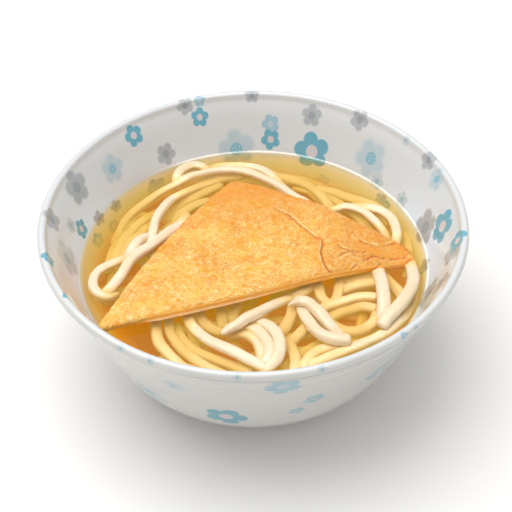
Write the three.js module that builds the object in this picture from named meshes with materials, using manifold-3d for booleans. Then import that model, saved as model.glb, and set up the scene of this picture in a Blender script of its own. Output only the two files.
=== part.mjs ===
// A bowl of udon: a glazed bowl of clear broth, a bundle of thick noodles, and a
// triangle of simmered fried tofu lying over them. Millimetres, +Z up. The origin is
// on the bowl's axis, at the foot ring's flat underside. The diner sits at -Y.

import * as THREE from 'three';
import { mergeVertices } from 'three/addons/utils/BufferGeometryUtils.js';
import Module from 'manifold-3d';

const wasm = await Module();
wasm.setup();

// ---- Driving dimensions ----

const GAP = 0.3;                    // clearance between pieces that touch
const NOODLE_GAP = 0.5;             // the same round a noodle, whose bends are faceted

// Bowl: radius and height of the stations that its two wall curves pass through.
const RIM_RADIUS = 95;
const RIM_HEIGHT = 82;
const LIP_RADIUS = 2;               // half-round lip
const FOOT_RADIUS = 44.5;
const FOOT_WIDTH = 4.5;
const FOOT_TOP = 6.5;               // where the foot ring meets the body
const RECESS_HEIGHT = 4.5;          // hollow inside the foot ring
const FOOT_SLOPE = 1.5;             // by which the ring's inner face leans
const OUTER_WALL = [[47, FOOT_TOP], [61.2, 14], [69.2, 22], [78.9, 44], [90, 70], [93.5, 78]];
const INNER_WALL = [
  [91, 79.6], [86, 71], [74.3, 45.5], [64.6, 26], [57.5, 18.6], [45, 13.6], [28, 10.9], [0, 10.5],
];
const OUTER_STEPS = 9;
const INNER_STEPS = 11;
const BOWL_SIDES = 48;

// Broth: its surface stands a third of the way down the bowl.
const BROTH_LEVEL = 55.4;

// Noodles: a square section with softened corners, on a heap that fills the bowl.
const NOODLE_WIDTH = 5.6;
const NOODLE_THICKNESS = 4.7;
const NOODLE_CORNER = 1.3;
const NOODLE_STEP = 7;               // length of one straight facet along a noodle
const HEAP_SIDES = 32;
const HEAP_BASE_RADIUS = 34;
const HEAP_PROFILE = [[34, 0], [52, 8.5], [64, 27], [68.5, 36], [64, 40], [36, 42], [0, 42.2]];
const HEAP_UNEVEN = 0.025;          // the heap's outline strays by this share of its radius
const HEAP_BAY = { angle: -2.5, width: 0.34, depth: 0.16 };  // open broth beside the tofu's corner

// Routes of the noodles that break the surface: x, y and height above the broth.
// Each dives into the heap at its ends, or ends square on another noodle.
const FRONT_NOODLES = [
  [[-31, -31, -5], [-25, -44, 0.4], [-14, -54, 0.8], [1, -63, 0.8], [10, -66, -3]],
  [[-13, -46, 0.8], [-2, -38, 1.2], [9, -31.5, -0.8], [16, -25, -5]],
  [[-6, -36, -5], [4, -41.5, 0.8], [11.5, -49, 1.5], [13, -57, 1.2], [6, -66, -2]],
  [[-10, -42, -4], [2, -46.5, 0.8], [7.6, -54, 0.9], [5, -64, -3]],
  [[-14, -45, -4], [-4, -49.5, 0.2], [2.5, -56, 0], [4, -63, -4]],
  [[17, -25, -5], [22, -36, 0.8], [29, -47, 1.2], [41, -52, 1.2]],
  [[12, -25, -5], [20, -29, 0.6], [31, -38.5, 1.6], [38, -50, -1]],
  [[26, -17, -5], [30, -27, 0.4], [42, -26, 0.4], [54, -21, -2]],
  [[55, -4, -8], [56, -12, -4], [56.5, -20, 1], [57, -28, 1.4], [54, -41, -1]],
  [[67, 2, -9], [70, -9, -4], [70.5, -18, 1.2], [66.5, -30, 2.4], [56, -43, 1.8]],
  [[69, -18, -5], [65.5, -33, -1], [56, -45, -0.5], [41, -54, -0.5], [27, -60, -5]],
];
const LEFT_NOODLES = [
  [[-62, -17, -5], [-59, -4, 1.2], [-50, 8, 1.2], [-40, 19, 0], [-32, 27, -5]],
  [[-47, 11, -5], [-47, 24, 0.5], [-40, 40, 0.5], [-25, 51, -1], [-15, 51, -5]],
  [[-62, -3, -4], [-56, 9, 0.4], [-48, 22, -5]],
  [[-51, 10, -4], [-62, 2.5, 0.2], [-70, -7, 0.2], [-68, -17, 0], [-58, -20, -4]],
];
const BACK_NOODLES = [
  [[-38, 54, -5], [-34.5, 63, -0.4], [-27, 66, -0.4], [-18, 61, -5]],
  [[-40, 47, -5], [-30, 56, 0.2], [-12, 62.5, 0.5], [4, 59.5, 0.5], [17, 50, 0.5], [30, 37, -4]],
  [[-6, 61, -4], [2, 65.5, 0.4], [10, 62.5, 0.6], [19, 52, -3]],
  [[36, 40, -5], [46, 37.5, 0], [58, 30, -0.6], [65, 16, -7]],
  [[48, 34, -5], [60, 34, 0.3], [68.5, 25, 0.3], [68.5, 10, -7]],
];

// Fried tofu: a square pouch cut corner to corner. Corners go round from the left.
const TOFU_CORNERS = [[-68.5, -46.3], [77.5, 4], [-9.5, 52.2]];
const TOFU_BULGE = [3, 3.8, 4.2];   // how far each side swells: cut side, right, left
const TOFU_CORNER_CUT = [0.03, 0.1, 0.05];   // share of a side taken by each rounded corner
const TOFU_CORNER_STEPS = 4;
const TOFU_SIDE_STEPS = 10;
const TOFU_POINTS = 3 * (TOFU_CORNER_STEPS + TOFU_SIDE_STEPS);
const TOFU_THICKNESS = 4.8;
const TOFU_BOTTOM = BROTH_LEVEL + 0.9;
const TOFU_DROOPS = [                // to the right, into the broth, and to the left, to the wall
  { way: 1, from: 26, to: 68, drop: 5 },
  { way: -1, from: 40, to: 68, drop: 1.6 },
];
const TOFU_WRINKLE = 0.35;

// ---- Solids ----

function toSolid(geometry) {
  const bare = geometry.clone();
  bare.deleteAttribute('normal');
  bare.deleteAttribute('uv');
  const merged = mergeVertices(bare, 1e-4);
  return new wasm.Manifold(new wasm.Mesh({
    numProp: 3,
    vertProperties: new Float32Array(merged.attributes.position.array),
    triVerts: new Uint32Array(merged.index.array),
  }));
}

function toGeometry(solid) {
  const mesh = solid.getMesh();
  const geometry = new THREE.BufferGeometry();
  geometry.setAttribute('position', new THREE.BufferAttribute(new Float32Array(mesh.vertProperties), 3));
  geometry.setIndex(new THREE.BufferAttribute(new Uint32Array(mesh.triVerts), 1));
  return geometry;
}

function largestBody(solid) {
  return solid.decompose().reduce((best, body) => (body.volume() > best.volume() ? body : best));
}

function lathe(points, sides) {
  const geometry = new THREE.LatheGeometry(points, sides);
  geometry.rotateX(Math.PI / 2);
  return geometry;
}

function wallCurve(stations) {
  return new THREE.SplineCurve(stations.map(([r, z]) => new THREE.Vector2(r, z)));
}

// ---- Bowl ----

// The inner wall from the lip down to the axis, moved inwards by a clearance.
function innerWall(clearance) {
  const curve = wallCurve(INNER_WALL);
  return curve.getPoints(INNER_STEPS).map((point, i) => {
    const tangent = curve.getTangent(i / INNER_STEPS);
    return new THREE.Vector2(Math.max(point.x + tangent.y * clearance, 0), point.y - tangent.x * clearance);
  });
}

function bowlSolid() {
  const lipCentre = new THREE.Vector2(RIM_RADIUS - LIP_RADIUS, RIM_HEIGHT - LIP_RADIUS);
  const lip = [-45, 0, 45, 90, 135].map((degrees) => {
    const turn = THREE.MathUtils.degToRad(degrees);
    return new THREE.Vector2(LIP_RADIUS * Math.cos(turn), LIP_RADIUS * Math.sin(turn)).add(lipCentre);
  });
  const foot = [
    [0, RECESS_HEIGHT],
    [FOOT_RADIUS - FOOT_WIDTH - FOOT_SLOPE, RECESS_HEIGHT],
    [FOOT_RADIUS - FOOT_WIDTH, 0],
    [FOOT_RADIUS, 0],
  ].map(([r, z]) => new THREE.Vector2(r, z));
  const outside = wallCurve(OUTER_WALL).getPoints(OUTER_STEPS);
  return toSolid(lathe([...foot, ...outside, ...lip, ...innerWall(0)], BOWL_SIDES));
}

// All the room inside the bowl, a clearance away from its wall.
function roomInside() {
  const wall = innerWall(GAP).reverse();
  return toSolid(lathe([...wall, new THREE.Vector2(0, wall.at(-1).y)], BOWL_SIDES));
}

// ---- Noodles ----

// A curve whose frame stays level, so that a flat noodle lies flat along its whole route.
// Both ends can be carried on by a little, which leaves the route between them as it is.
class LevelCurve extends THREE.CatmullRomCurve3 {
  constructor(points, carryOn) {
    super(points, false, 'centripetal');
    this.carryOn = carryOn;
  }

  getSpacedPoints(divisions) {
    const spaced = super.getSpacedPoints(divisions);
    spaced[0].addScaledVector(this.getTangentAt(0), -this.carryOn);
    spaced[divisions].addScaledVector(this.getTangentAt(1), this.carryOn);
    return spaced;
  }

  computeFrenetFrames(segments) {
    const up = new THREE.Vector3(0, 0, 1);
    const tangents = [];
    const normals = [];
    const binormals = [];
    for (let i = 0; i <= segments; i += 1) {
      const tangent = this.getTangentAt(i / segments);
      const side = new THREE.Vector3().crossVectors(up, tangent).normalize();
      tangents.push(tangent);
      normals.push(side);
      binormals.push(new THREE.Vector3().crossVectors(tangent, side));
    }
    return { tangents, normals, binormals };
  }
}

// The noodle's section, or the plain rectangle that the broth leaves open round it.
function noodleSection(grow) {
  const w = NOODLE_WIDTH / 2 + grow;
  const t = NOODLE_THICKNESS / 2 + grow;
  const c = NOODLE_CORNER;
  const corners = grow > 0 ? [[w, -t], [w, t], [-w, t], [-w, -t]] : [
    [w, -t + c], [w, t - c], [w - c, t], [c - w, t], [-w, t - c], [-w, c - t], [c - w, -t], [w - c, -t],
  ];
  return new THREE.Shape(corners.map(([x, y]) => new THREE.Vector2(x, y)));
}

function noodleSolid(route, grow) {
  const points = route.map(([x, y, lift]) => new THREE.Vector3(x, y, BROTH_LEVEL + lift));
  const path = new LevelCurve(points, grow);
  const steps = Math.round(path.getLength() / NOODLE_STEP);
  return toSolid(new THREE.ExtrudeGeometry(noodleSection(grow), { steps, extrudePath: path, bevelEnabled: false }));
}

function heapSolid(grow) {
  const base = INNER_WALL.at(-1)[1] + GAP;
  const profile = HEAP_PROFILE.map(([r, z], i) => new THREE.Vector2(
    r === 0 ? 0 : r + grow,
    base + z + (i > 3 ? grow : 0),
  ));
  const geometry = lathe([new THREE.Vector2(0, base - grow), ...profile], HEAP_SIDES);
  const at = geometry.attributes.position;
  for (let i = 0; i < at.count; i += 1) {
    const angle = Math.atan2(at.getY(i), at.getX(i));
    const bay = HEAP_BAY.depth * Math.exp(-(((angle - HEAP_BAY.angle) / HEAP_BAY.width) ** 2));
    const stray = HEAP_UNEVEN * (Math.sin(2 * angle + 0.7) + Math.sin(5 * angle));
    const radius = Math.hypot(at.getX(i), at.getY(i));
    const scale = radius > HEAP_BASE_RADIUS + grow + 0.01 ? 1 + stray - bay : 1;
    at.setXY(i, at.getX(i) * scale, at.getY(i) * scale);
  }
  return toSolid(geometry);
}

function noodleBundle(grow) {
  const routes = [...FRONT_NOODLES, ...LEFT_NOODLES, ...BACK_NOODLES];
  return routes.reduce((bundle, route) => bundle.add(noodleSolid(route, grow)), heapSolid(grow));
}

// ---- Fried tofu ----

function tofuOutline() {
  const corners = TOFU_CORNERS.map(([x, y]) => new THREE.Vector2(x, y));
  const sides = corners.map((corner, i) => {
    const next = corners[(i + 1) % 3];
    const along = next.clone().sub(corner);
    const outward = new THREE.Vector2(along.y, -along.x).setLength(TOFU_BULGE[i] * 2);
    const middle = corner.clone().lerp(next, 0.5).add(outward);
    return new THREE.QuadraticBezierCurve(corner, middle, next);
  });
  return sides.flatMap((side, i) => {
    const before = sides[(i + 2) % 3];
    const [start, end] = [TOFU_CORNER_CUT[i], 1 - TOFU_CORNER_CUT[(i + 1) % 3]];
    const round = new THREE.QuadraticBezierCurve(before.getPoint(1 - start), corners[i], side.getPoint(start));
    const run = Array.from({ length: TOFU_SIDE_STEPS }, (_, k) => side.getPoint(
      THREE.MathUtils.lerp(start, end, k / TOFU_SIDE_STEPS),
    ));
    return [...round.getPoints(TOFU_CORNER_STEPS).slice(0, TOFU_CORNER_STEPS), ...run];
  });
}

function tofuDroop(x) {
  return TOFU_DROOPS.reduce(
    (sum, { way, from, to, drop }) => sum + drop * THREE.MathUtils.smoothstep(way * x, from, to),
    0,
  );
}

// The slab is a lathe-turned disc whose rings are drawn out to the triangle's outline.
function tofuSolid(grow) {
  const outline = tofuOutline();
  const centre = outline.reduce((sum, p) => sum.add(p), new THREE.Vector2()).divideScalar(TOFU_POINTS);
  const low = -grow;
  const high = TOFU_THICKNESS + grow;
  const rings = [
    [0, low], [0.5, low], [0.97, low], [1, low + 1.2], [1, high - 1.3], [0.97, high - 0.2],
    [0.88, high + 0.2], [0.66, high + 0.3], [0.42, high + 0.3], [0.2, high + 0.4], [0, high + 0.4],
  ];
  const geometry = lathe(rings.map(([r, z]) => new THREE.Vector2(r, z)), TOFU_POINTS);
  const at = geometry.attributes.position;
  for (let i = 0; i < at.count; i += 1) {
    const side = Math.floor(i / rings.length) % TOFU_POINTS;
    const [share, height] = rings[i % rings.length];
    const reach = outline[side].clone().sub(centre);
    const point = reach.clone().setLength(reach.length() * share + (share === 1 ? grow : 0)).add(centre);
    const onTop = share > 0 && share < 0.95 && height > high ? 1 : 0;
    const wrinkle = TOFU_WRINKLE * Math.sin(point.x * 0.31 + point.y * 0.12) * Math.cos(point.y * 0.27);
    at.setXYZ(i, point.x, point.y, TOFU_BOTTOM + height - tofuDroop(point.x) + onTop * wrinkle);
  }
  return toSolid(geometry);
}

// ---- Assembly ----

const room = roomInside();
const tofu = largestBody(tofuSolid(0).intersect(room));
const noodles = largestBody(noodleBundle(0).intersect(room).subtract(tofuSolid(GAP)));
const filled = room.trimByPlane([0, 0, -1], -BROTH_LEVEL);
const broth = largestBody(filled.subtract(noodleBundle(NOODLE_GAP)).subtract(tofuSolid(GAP)));

function piece(name, solid, color, roughness) {
  const material = new THREE.MeshStandardMaterial({ color, roughness, metalness: 0 });
  const mesh = new THREE.Mesh(toGeometry(solid), material);
  mesh.name = name;
  return mesh;
}

const udonBowl = new THREE.Group();
udonBowl.add(
  piece('bowl', bowlSolid(), 0xe4e5e2, 0.2),
  piece('broth', broth, 0xe0a648, 0.08),
  piece('noodles', noodles, 0xf6e6c8, 0.35),
  piece('fried_tofu', tofu, 0xf6b45e, 0.6),
);

export default udonBowl;
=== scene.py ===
import math
import random

import bpy
import numpy as np
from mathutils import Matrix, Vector, noise


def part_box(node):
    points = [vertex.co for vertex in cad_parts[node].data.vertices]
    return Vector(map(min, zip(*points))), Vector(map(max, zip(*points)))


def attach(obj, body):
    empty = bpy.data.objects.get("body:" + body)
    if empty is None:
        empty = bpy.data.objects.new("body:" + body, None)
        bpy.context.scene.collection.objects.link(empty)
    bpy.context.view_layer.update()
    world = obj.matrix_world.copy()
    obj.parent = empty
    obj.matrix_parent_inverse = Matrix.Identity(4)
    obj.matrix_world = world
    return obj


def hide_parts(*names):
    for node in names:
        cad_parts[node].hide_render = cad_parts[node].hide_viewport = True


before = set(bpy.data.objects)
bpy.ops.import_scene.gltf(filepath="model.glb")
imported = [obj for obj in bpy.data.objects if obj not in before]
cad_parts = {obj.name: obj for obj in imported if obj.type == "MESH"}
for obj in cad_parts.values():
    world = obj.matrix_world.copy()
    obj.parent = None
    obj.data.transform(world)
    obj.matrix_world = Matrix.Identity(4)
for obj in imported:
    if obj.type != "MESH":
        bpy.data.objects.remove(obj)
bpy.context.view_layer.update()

# A bowl of udon. Lengths are in millimetres until they are put into Blender, which works
# in metres. The diner sits at -Y, and the bowl's axis is the Z axis.

MM = 0.001
BODY = "root"

# ---- Bowl ----

RIM_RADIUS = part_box("bowl")[1].x / MM
RIM_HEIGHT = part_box("bowl")[1].z / MM
LIP_RADIUS = 2.0
LIP_TURN = (-62, 152)                # degrees of the bead, from under it over to the inside
LIP_PARTS = 12
FOOT_SECTION = [                     # radius and height, from the recess out to the wall
    (0, 4.5), (12, 4.5), (24, 4.5), (33, 4.5), (37.2, 4.5), (38.4, 4.1), (39.3, 2.6), (40.0, 1.0),
    (40.6, 0.3), (41.6, 0), (43.2, 0), (44.0, 0.3), (44.5, 1.2), (44.6, 3.0), (44.9, 5.0), (45.6, 6.1),
]
OUTER_WALL = [(47, 6.5), (61.2, 14), (69.2, 22), (78.9, 44), (90, 70), (93.35, 77.4)]
INNER_WALL = [(91, 79.6), (86, 71), (74.3, 45.5), (64.6, 26), (57.5, 18.6), (45, 13.6), (28, 10.9), (0, 10.5)]
WALL_STEP = 1.9                      # height of one ring of faces on the walls
RIDGE_TOP = 76.5                     # the finger ridges lie under the lip and die away downwards
RIDGE_PITCH = 4.4
RIDGE_DEPTH = 0.42
RIDGE_REACH = 25
BOWL_SIDES = 240

# ---- Broth ----

BROTH_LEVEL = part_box("broth")[1].z / MM
BROTH_OVERLAP = 0.3                  # how far the broth reaches into the wall, so that no air shows
BROTH_RINGS = 24                     # rings of faces on the flat of it, and on its climb
MENISCUS_RINGS = 8
MENISCUS_RISE = 1.1
MENISCUS_WIDTH = 2.6
MENISCUS_CURVE = 2.6                 # exponent of the climb
MENISCUS_PAINTED_HIGHLIGHT = (0.30, 0.27, 0.235)  # painted highlight: a glow along the meniscus on the far side and the right, where it would catch the window's light
# The broth's look is painted on what lies in it, by its depth in millimetres: the first table is the broth's
# amber tint together with painted shade, dimming what lies deeper where less light gets down; the second is a
# painted amber glow, emission that stands for the light the cloudy broth sends back, until only the cloud's
# own amber is left.
BROTH_TINT_AND_SHADE = [
    (0, (1.0, 1.0, 1.0)), (0.4, (0.96, 0.90, 0.75)), (2, (0.84, 0.72, 0.45)), (4, (0.70, 0.56, 0.27)),
    (8, (0.52, 0.41, 0.135)), (14, (0.38, 0.24, 0.045)), (24, (0.22, 0.11, 0.012)),
    (40, (0.10, 0.05, 0.004)),
]
BROTH_PAINTED_GLOW = [
    (0, (0.0, 0.0, 0.0)), (0.4, (0.006, 0.005, 0.003)), (2, (0.048, 0.038, 0.014)),
    (4, (0.115, 0.088, 0.027)), (8, (0.24, 0.185, 0.042)), (14, (0.38, 0.215, 0.026)),
    (24, (0.44, 0.165, 0.008)), (40, (0.46, 0.16, 0.006)),
]
# painted fill light: the wall under the broth is made brighter than the glaze, for the light the broth keeps
# from it
UNDER_BROTH_PAINTED_FILL = (0.95, 0.95, 0.93)
INSIDE_GLAZE = (0.70, 0.72, 0.722)   # a little cooler than outside, against the broth's warm light
# painted cool tint on the wall near the broth, against the warm light of the broth's painted glow
GLAZE_PAINTED_COOL = (0.77, 0.88, 1.0)
OUTSIDE_WARMTH = (0.975, 0.955, 0.915)
GLOW_REACH = 24                      # how far up the wall the painted cool tint reaches, against the painted glow's warm light
GLOW_LOSS = (15, 60, 0.8)            # along Y, from and to where it is felt less, and by how much
GLAZE_TONES = [(0.3, (0.675, 0.685, 0.685)), (0.7, (0.70, 0.705, 0.705))]
WATER_TONE = (1.0, 0.985, 0.93)
NO_LIGHT = (0.0, 0.0, 0.0)
PRINT_FADE = (12, 0.55)              # how deep the printed flowers fade, and by how much

# ---- Flowers printed under the glaze ----
# Each kind gives its petals' colour, its middle's colour, and the colour of the dots in the middle.

PRINT_KINDS = {
    "vivid": ((0.162, 0.435, 0.560), (0.688, 0.645, 0.680), (0.568, 0.533, 0.570)),
    "mid": ((0.360, 0.550, 0.640), (0.550, 0.620, 0.670), (0.447, 0.580, 0.650)),
    "pale": ((0.515, 0.625, 0.680), (0.235, 0.490, 0.610), (0.430, 0.600, 0.690)),
    "mist": ((0.550, 0.632, 0.665), (0.390, 0.520, 0.590), (0.390, 0.520, 0.590)),
    "grey": ((0.440, 0.468, 0.488), (0.300, 0.345, 0.378), (0.390, 0.425, 0.455)),
}
PRINT_EDGES = {"vivid": 0.05, "mid": 0.08, "pale": 0.17, "mist": 0.17, "grey": 0.12}   # of the petals
KIND_NAMES = list(PRINT_KINDS)

# Angle round the bowl, height and radius of each flower, its kind, and which way a petal points
# (degrees from the way round the bowl towards the rim). The first list lies over the second.
INSIDE_OVER = [
    (107, 73.7, 4.9, "vivid", 100), (130, 75.3, 5.5, "vivid", -65), (167.3, 60.2, 5.0, "vivid", -63),
    (-165, 80.0, 4.4, "vivid", 30), (-148.5, 79.8, 3.6, "vivid", 10), (83.7, 61.5, 5.3, "vivid", -83),
    (68.8, 58.6, 9.9, "vivid", 75), (4.2, 69.7, 8.6, "vivid", 64), (-8, 78.2, 6.2, "vivid", 80),
    (142, 67.7, 7.2, "pale", 104), (95.7, 57.0, 10.2, "pale", 82), (47, 65.2, 9.6, "pale", 53),
    (55, 78.4, 5.4, "grey", -101), (70.7, 74.6, 5.6, "grey", 86), (121, 61.8, 5.6, "grey", 120),
    (158.5, 73.4, 8.4, "grey", -47), (26.6, 80.2, 5.2, "grey", 62), (11.8, 60.0, 9.0, "grey", 51),
    (28.6, 58.2, 4.2, "mist", 80), (-23, 73.2, 6.6, "grey", 20), (153.7, 44, 4.2, "vivid", 0),
    (164.2, 47.6, 5.0, "vivid", 30), (33.5, 49.4, 3.2, "vivid", 0), (-4.9, 47.3, 3.9, "vivid", 0),
]
INSIDE_UNDER = [
    (111, 79.6, 4.6, "grey", -74), (106.2, 80.6, 3.2, "mid", 90), (83.9, 68.6, 4.9, "mid", 67),
    (90, 80.9, 4.0, "grey", -55), (177, 77.6, 6.2, "grey", 10), (171, 66.4, 4.0, "mist", 118),
    (-175, 65.0, 9.6, "mist", 60), (37.5, 80.2, 2.8, "mist", 0), (19.6, 77.4, 5.6, "pale", 75),
    (41.6, 57.4, 4.4, "mist", 100), (-11, 75.6, 7.4, "grey", 75), (-19.5, 60.0, 8.6, "grey", 40),
    (128.4, 47, 6.5, "grey", 0), (147.5, 52, 4.2, "grey", 15), (157, 54.6, 4.5, "grey", 40),
    (62.3, 43.1, 4.8, "grey", 0), (36.5, 49.8, 4.6, "grey", 30), (-2, 52.5, 5.0, "grey", 0),
]
OUTSIDE_OVER = [
    (-99.5, 33.6, 9.4, "vivid", -5), (-82.5, 68.6, 7.8, "mid", -100), (-72, 48.0, 4.8, "mid", 59),
    (-76.5, 37.8, 3.6, "mid", 0), (-49, 46.5, 6.8, "mid", 40),
    (-124.5, 81.1, 2.1, "mist", 10), (-116, 81.1, 2.1, "mist", 40), (-94, 81.2, 2.2, "mist", 25),
    (-73.5, 81.2, 2.1, "mist", 0), (-50, 81.1, 2.0, "mid", 50), (-46, 81, 1.9, "mist", 15),
]
OUTSIDE_UNDER = [
    (-113, 59, 5.6, "mist", 20), (-128, 33, 8.6, "pale", 50),
]
SCATTER_SEED = 41
SCATTER_TRIES = 1600
SCATTER_GAP = 6.0                    # clear glaze between two scattered flowers
SCATTER_KINDS = ["vivid", "mid", "pale", "mist", "grey", "grey"]
SCATTER_SIZES = {
    "vivid": (4.6, 9.6), "mid": (4.0, 6.0), "pale": (7.0, 10.0), "mist": (3.8, 6.0), "grey": (4.6, 8.6),
}
SCATTER_WAIST = 0.9                  # the wall's mean radius in the bands, against the rim's
SCATTER_INSIDE = {"turn": (-152, -32), "height": (50, 72)}
SCATTER_OUTSIDE = {"turn": (-34, 218), "height": (20, 69)}
INSIDE_SLIM = 1.12                   # the flowers inside are taller than wide by this much
PRINT_REACH = 1.7                    # a face looks for flowers within this many of their radii
NO_FLOWER = 9.0                      # place that is written where there is none
ROWS_AT_ONCE = 4000                  # vertices that are looked up together, to save memory

# ---- Noodles ----
# x, y and height of the noodle's middle above the broth, and its share of the width where that isn't 1.

NOODLE_WIDTH = 5.2
NOODLE_THICKNESS = 4.5
BROAD_SHARE = 1.2                    # the broad and the slim noodles against the others
SLIM_SHARE = 0.84
GAP_PAINTED_GLOW_TINT = (1.0, 0.86, 0.25)         # the broth's painted glow is a deeper amber down between the noodles
RAISED_TINT = (0.985, 0.96, 1.03)    # out of the broth they are paler and less yellow
DEEP_DIM = (7.5, 11)                 # depths between which the bundle turns to painted shade, where little light gets down
DEEP_PAINTED_SHADE = (0.68, 0.125, 0.006)
NOODLE_TONES = [(0.3, (0.865, 0.69, 0.41)), (0.7, (0.91, 0.76, 0.51))]
NOODLE_SQUARENESS = 2.9              # exponent of the section's superellipse: 2 is round
SECTION_POINTS = 16
DEEP_SECTION_POINTS = 8
TIP = [(0.6, 0.87), (1.3, 0.5)]      # past a noodle's end: how far, and what is left of its width
NOODLE_SEED = 7
NOODLE_SPREAD = (0.92, 1.08)         # thickness of one noodle against the others
NOODLE_LEAN = 0.25                   # radians that a noodle may be turned about its own line
NOODLE_PHASE = (0, 6.28)             # where a noodle's wavers start, in radians
WIDTH_WAVER = (0.04, 1.7)            # how far its width strays, and how fast, in radians a station
LEAN_WAVER = (0.22, 1.1)             # the same for its turn about its own line
NOODLE_SWELL = (8, 0.7)              # size and height of the slow unevenness on every noodle
FRONT_NOODLES = [
    [(-43, -33.5, -5.5), (-42.5, -40.5, -4.9), (-41, -47.5, -4.5), (-38, -53, -3.8), (-34.5, -58, -3.3),
     (-29.5, -63.5, -3.4), (-24.5, -67, -3.6)],
    [(-37.5, -33, -6.1), (-36.5, -40.5, -6.3), (-33.5, -47, -6.1), (-30, -52, -6.5), (-25, -58, -5),
     (-19, -63, -4.5), (-13, -66.5, -4.6)],
    [(-34, -34.5, -10), (-32, -42.5, -8), (-27.5, -49, -7.2), (-22.5, -53.5, -6.8), (-16, -57.5, -6.2),
     (-8.5, -61.5, -5.9), (-2, -65, -5.9)],
    [(-39, -54, -9), (-30, -61, -7.2), (-18, -65.5, -6.6), (-6, -67.5, -6.6), (6, -68, -7), (16, -66, -8)],
    [(-29.5, -29, -5.2), (-27, -38.5, -3), (-23.5, -44.5, -1.6), (-19.5, -49, -0.8), (-14, -53, -0.2),
     (-7.5, -57.5, 0), (-2, -61, -0.5), (4, -64.5, -1.8)],
    [(-24, -28, -6.1), (-22.5, -34, -6.3), (-19.5, -37.5, -6.8), (-16, -40, -7), (-12.5, -41, -7.5)],
    [(-14, -24.5, -7.5), (-14, -31, -7.5), (-13.5, -37, -8.5)],
    [(-7, -23, -7), (-9, -28.5, -7), (-9, -33.5, -8)],
    [(-13, -45.4, 0.6, 0.6), (-10.6, -43.9, 1.2, 0.95), (-7.5, -41.9, 1.6), (-4, -38.5, 1.6),
     (1.5, -34.5, 1.2), (6, -30.5, 0.2), (11, -26, -1.6), (16, -22, -4.2)],
    [(-3, -36.5, -4.6), (1.5, -37, -3), (5, -39.5, -1.3), (8.5, -44, -0.2), (10.5, -49.5, 0.3),
     (10.8, -55.5, 0.4), (9.8, -60, 0), (7, -63.5, -1), (3.5, -65.5, -2.6)],
    [(-7, -40, -5), (-3, -40, -3.4), (1, -42.5, -1.9), (4, -47, -0.9), (6, -52, -0.5), (6.4, -57.5, -0.7),
     (5, -61.5, -1.6), (2.5, -64, -3.2)],
    [(-11, -43, -5.6), (-6, -43.5, -4), (-1.5, -46, -2.8), (1.5, -50.5, -2), (2.8, -55.5, -2),
     (2.8, -59.5, -3.2), (1.5, -63, -5)],
    [(17.5, -19.5, -6), (17, -28, -5.6), (15.5, -34.5, -5.2), (13, -39.5, -6.1), (9.5, -43, -8)],
    [(26, -35.5, -6), (21.5, -41, -4.7), (18, -45.5, -5.2), (14.5, -48, -7.5)],
    [(14, -46, -7), (16.5, -53, -5.6), (17.5, -59.5, -4), (17, -67, -2.5)],
    [(16.4, -28.2, 0.3, 0.4), (18.6, -27.6, 1, 0.75), (21.2, -28, 1.7), (23.8, -29.4, 2.1), (26, -32, 2.1),
     (29, -36, 1.6), (32, -40.5, 0.6), (35, -44, -1), (38.5, -46, -3.6)],
    [(21, -25, -3.4), (21.5, -32, -1.6), (23.5, -38.5, -0.2), (26, -44, 0.5), (29.5, -48, 0.9),
     (34.5, -50.5, 1), (40, -51, 0.8)],
    [(13.5, -21.5, -4.4), (19, -18, -6), (22, -15, -6.8), (24.5, -10, -8)],
    [(28.5, -28.5, -6), (32, -27, -4.4), (36.5, -25.5, -3.6), (42.5, -23.5, -3), (48, -22, -2.7),
     (53.6, -22.6, -2.5)],
    [(30.5, -34, -8), (34.5, -31.5, -7.2), (39, -29, -6.8), (43.5, -27.5, -6.4), (48.5, -27, -4.9),
     (53.4, -29, -3.9)],
    [(32.5, -34.5, -8), (37, -40, -6), (41.5, -42, -5.6), (46.5, -41, -5.7), (51, -38.5, -4.1),
     (54, -33, -4.4), (55.5, -25, -7.5)],
    [(40, -15.8, -5.8, 1.1), (43.5, -14.6, -5, 1.15), (47.5, -13.4, -4.6, 1.15), (54, -12, -5)],
    [(16, -21.5, -5.5), (20, -19.5, -3.8), (23, -17, -4.2), (25, -12, -6), (26, -6.5, -8)],
    [(38, -10, -7.5), (43.5, -9, -7), (49, -8, -7), (55.5, -6, -7.5)],
    [(57.5, -5, -6.5), (61, -10.5, -6.7), (64, -16, -5.2), (66, -22, -4.4)],
    [(38, -51, -3.2), (31.5, -52.5, -3.4), (27, -54.5, -3.8), (23, -59, -3), (20.5, -64.5, -2.6)],
    [(73.5, -7.5, -5), (72, -14, -5.7), (70.5, -22.5, -4.8), (67.5, -30.5, -3.6), (63, -38, -2),
     (58, -43.5, -2), (51, -48.5, -2), (43.5, -52.5, -2), (36, -56, -2.7), (29.5, -59.5, -2.7),
     (23, -63, -2.9)],
    [(27, -3, -8), (28.1, -9.3, -6.5), (29, -14.8, -5), (29.7, -19.7, -4.4), (31.3, -23.6, -4.2),
     (33.6, -25.2, -4.2), (36.2, -23.4, -4.2), (37.6, -19.1, -4.4), (38.4, -14.3, -5), (38.9, -8.2, -6.5),
     (39.5, -3, -8)],
    [(30, -45.5, -10), (24, -50.2, -8.6), (19, -53.8, -9), (12, -61.4, -9.6)],
    [(47, -15.6, -11.5), (48, -25, -11), (47, -35, -10.8), (43, -46.2, -10), (34, -53.6, -10)],
    [(26, -25, -11.5), (27, -31.5, -11), (32, -41.5, -10.8), (42, -50.2, -10)],
    [(62, -10, -11.5), (63, -21.4, -11), (61, -32.2, -10.6), (52, -41.2, -10), (44, -51, -9.6)],
]
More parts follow.
